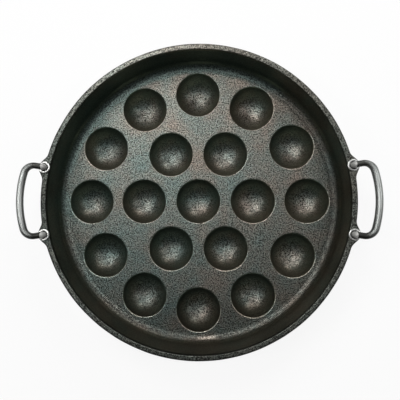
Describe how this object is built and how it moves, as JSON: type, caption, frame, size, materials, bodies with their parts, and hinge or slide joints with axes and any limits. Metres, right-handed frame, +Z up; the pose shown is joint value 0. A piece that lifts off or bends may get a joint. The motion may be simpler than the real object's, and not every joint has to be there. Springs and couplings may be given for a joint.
{
  "type": "paniyaram pan",
  "caption": "Round cast-iron pan with a floor of hemispherical cups in rings, a raised rim with lugs, and bolted wire side handles.",
  "frame": {"origin": "on the ground under the middle cup, at the centre of the pan's footprint", "axes": "+Z up out of the cups, +X through the middle of the right handle, +Y towards the back of the pan (the top of the picture)"},
  "size_m": [0.3406, 0.3, 0.0617],
  "materials": {
    "seasoned_cast_iron": "satin",
    "handle_steel": "satin",
    "washer_steel": "gloss",
    "nut_steel": "satin"
  },
  "bodies": {
    "root": {"pan_body": "seasoned_cast_iron", "left_handle": "handle_steel", "right_handle": "handle_steel", "top_washer_left_back": "washer_steel", "under_washer_left_back": "washer_steel", "nut_left_back": "nut_steel", "top_washer_left_front": "washer_steel", "under_washer_left_front": "washer_steel", "nut_left_front": "nut_steel", "top_washer_right_back": "washer_steel", "under_washer_right_back": "washer_steel", "nut_right_back": "nut_steel", "top_washer_right_front": "washer_steel", "under_washer_right_front": "washer_steel", "nut_right_front": "nut_steel"}
  },
  "joints": []
}
